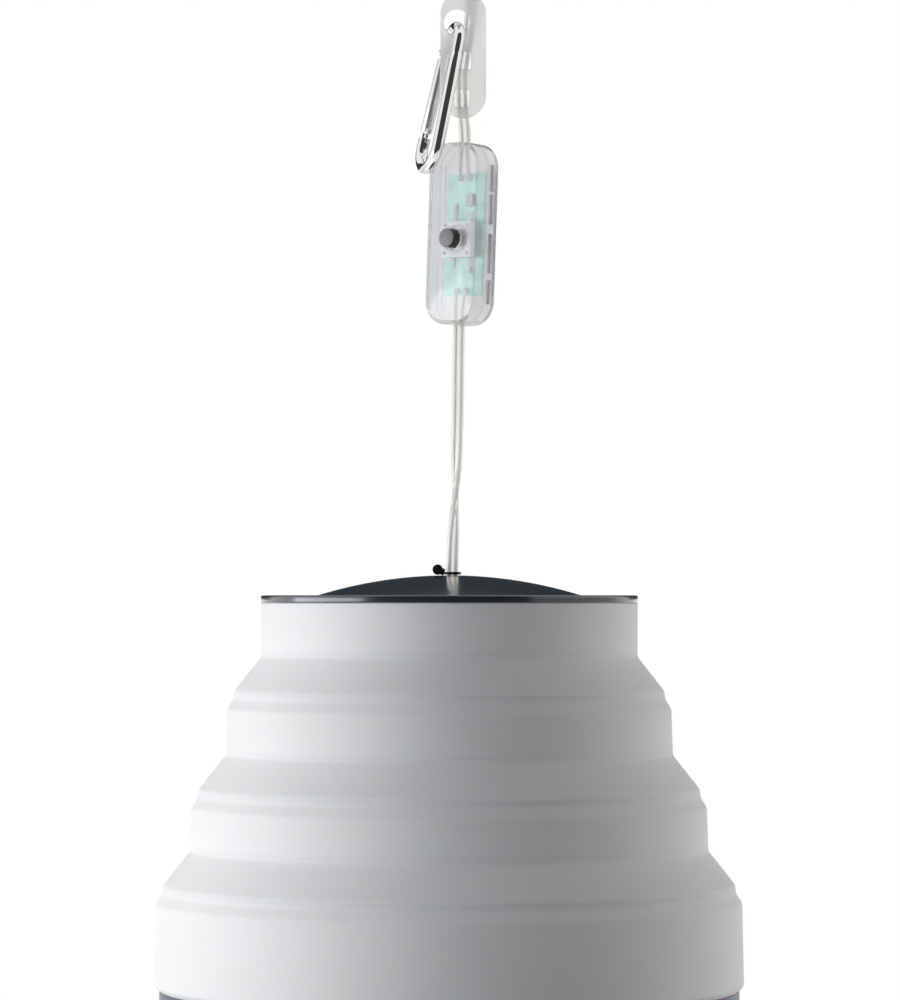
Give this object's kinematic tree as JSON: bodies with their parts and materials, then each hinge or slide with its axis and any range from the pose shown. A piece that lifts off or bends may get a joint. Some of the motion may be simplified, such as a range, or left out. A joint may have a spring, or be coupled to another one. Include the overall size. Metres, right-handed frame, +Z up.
{
  "type": "folding camping lantern",
  "caption": "Folding silicone lantern shade under a domed cap, on a clear lead with a push switch, hanger tab, snap hook, and a tied hank that ends in a plug.",
  "frame": {"origin": "hang point: the underside of the top loops of the tied hank of lead, where a hook or branch would carry the lantern", "axes": "+Z up, away from the shade and along its axis; the switch's front and the snap hook's spine are on the -Y side"},
  "size_m": [0.1956, 0.1956, 0.4336],
  "materials": {
    "silicone": "matt white silicone, a little light passes through it",
    "cap_plastic": "polished, nearly black",
    "ring_plastic": "satin slate blue",
    "white_plastic": "satin white",
    "diffuser_plastic": "frosted",
    "led_phosphor": "clear lens over yellow",
    "screw_steel": "zinc plated",
    "black_nylon": "moulded",
    "clear_plastic": "clear, polished",
    "circuit_board": "teal lacquer",
    "solder": "tinned",
    "button_plastic": "satin black",
    "milky_plastic": "milky, lets light through",
    "polished_steel": "polished",
    "clear_lead": "clear sleeve over bright wires",
    "tie_webbing": "woven hook-and-loop strap"
  },
  "bodies": {
    "head": {"top_cap": "cap_plastic", "cable_tie": "black_nylon", "inner_plate": "white_plastic", "plate_screws": "screw_steel", "led_board": "white_plastic", "leds": "led_phosphor", "diffuser": "diffuser_plastic", "shade_top": "silicone", "fold_1": "silicone", "switch_front": "clear_plastic", "switch_back": "clear_plastic", "switch_board": "circuit_board", "board_parts": "solder", "tact_switch": "white_plastic", "hanger_tab": "milky_plastic", "lower_cord": "clear_lead", "upper_cord": "clear_lead", "cord_hank": "clear_lead", "hank_tie": "tie_webbing", "plug_lead": "clear_lead", "plug_body": "white_plastic", "plug_shell": "polished_steel", "plug_tongue": "white_plastic"},
    "second_band": {"band_2": "silicone", "fold_2": "silicone"},
    "third_band": {"band_3": "silicone", "fold_3": "silicone"},
    "skirt_body": {"skirt": "silicone", "base_ring": "ring_plastic"},
    "snap_hook": {"hook_body": "polished_steel", "gate_pin": "polished_steel"},
    "gate": {"hook_gate": "polished_steel", "gate_spring": "polished_steel"},
    "button": {"push_button": "button_plastic"}
  },
  "joints": [
    {"name": "upper_fold", "type": "slide", "parent": "head", "child": "second_band", "axis": [0, 0, 1], "range_m": [0, 0.0224], "deforming": ["fold_1"]},
    {"name": "middle_fold", "type": "slide", "parent": "second_band", "child": "third_band", "axis": [0, 0, 1], "range_m": [0, 0.0224], "deforming": ["fold_2"]},
    {"name": "lower_fold", "type": "slide", "parent": "third_band", "child": "skirt_body", "axis": [0, 0, 1], "range_m": [0, 0.0224], "deforming": ["fold_3"]},
    {"name": "hook_swing", "type": "hinge", "parent": "head", "child": "snap_hook", "pos_m": [0.0023, 0, -0.09968], "axis": [-0.3584, 0.9336, 0], "range_deg": [0, 90]},
    {"name": "gate_swing", "type": "hinge", "parent": "snap_hook", "child": "gate", "pos_m": [-0.00121, 0.00464, -0.10741], "axis": [-0.9138, -0.3508, 0.2047], "range_deg": [0, 9], "stiffness_Nm_per_rad": 0.15, "springref_deg": -17.19},
    {"name": "button_press", "type": "slide", "parent": "head", "child": "button", "axis": [0.6222, 0.7826, -0.0206], "range_m": [0, 0.0008], "stiffness_N_per_m": 600, "springref_m": -0.0008}
  ]
}
